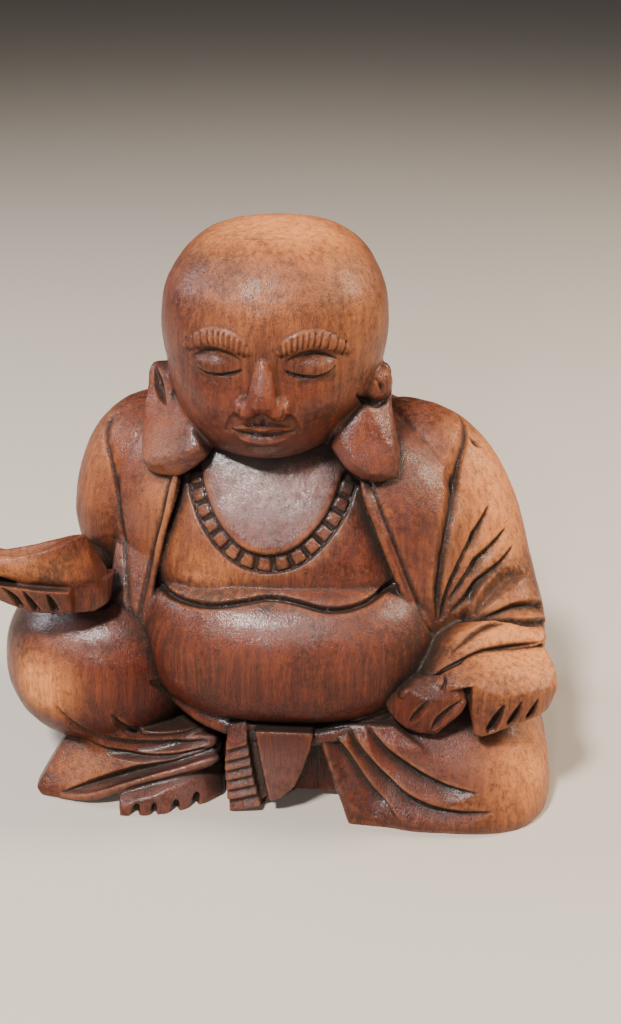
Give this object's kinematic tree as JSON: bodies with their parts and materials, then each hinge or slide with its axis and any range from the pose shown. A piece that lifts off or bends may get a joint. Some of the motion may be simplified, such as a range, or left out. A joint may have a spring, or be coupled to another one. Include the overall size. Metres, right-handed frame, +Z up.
{
  "type": "budai figure",
  "caption": "Seated laughing monk carved from one block of reddish wood, with an open robe, bare round belly, bead string, ingot in one hand and the neck of a cloth bag in the other.",
  "frame": {"origin": "middle of the flat underside, on the surface the figure sits on", "axes": "+Z up, the figure looks along -Y, and its right hand with the ingot is towards -X"},
  "size_m": [0.1636, 0.0937, 0.15],
  "materials": {
    "carved_wood": "varnished, worn on the high places and dark in the cuts"
  },
  "bodies": {
    "root": {"budai_figure": "carved_wood"}
  },
  "joints": []
}
